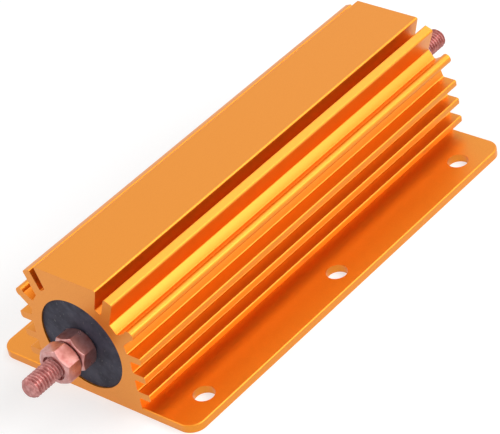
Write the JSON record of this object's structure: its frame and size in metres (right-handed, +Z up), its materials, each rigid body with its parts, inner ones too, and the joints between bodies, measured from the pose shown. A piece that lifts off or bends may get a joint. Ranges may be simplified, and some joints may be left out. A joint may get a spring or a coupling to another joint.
{
  "type": "aluminium housed resistor",
  "caption": "Wirewound power resistor in a finned, gold anodised aluminium housing that bolts down flat to a panel or heat sink, with a threaded stud and nuts at each end.",
  "frame": {"origin": "middle of the housing's underside, on the surface it is bolted to", "axes": "+X along the housing from the left terminal to the right one, +Y across it, +Z up from the base towards the top block"},
  "size_m": [0.1792, 0.0706, 0.039],
  "materials": {
    "gold_aluminium": "satin gold anodised",
    "dark_seal": "matt, slightly grainy",
    "copper": "satin copper plate",
    "cap_steel": "plain",
    "resistance_wire": "drawn wire",
    "ceramic": "unglazed ceramic",
    "filler_cement": "cast cement"
  },
  "bodies": {
    "root": {"housing": "gold_aluminium", "end_seal_left": "dark_seal", "end_seal_right": "dark_seal", "terminal_stud_left": "copper", "terminal_stud_right": "copper", "inner_nut_left": "copper", "inner_nut_right": "copper", "outer_nut_left": "copper", "outer_nut_right": "copper", "core_cap_left": "cap_steel", "core_cap_right": "cap_steel", "resistance_winding": "resistance_wire", "ceramic_core": "ceramic", "filler": "filler_cement"}
  },
  "joints": []
}
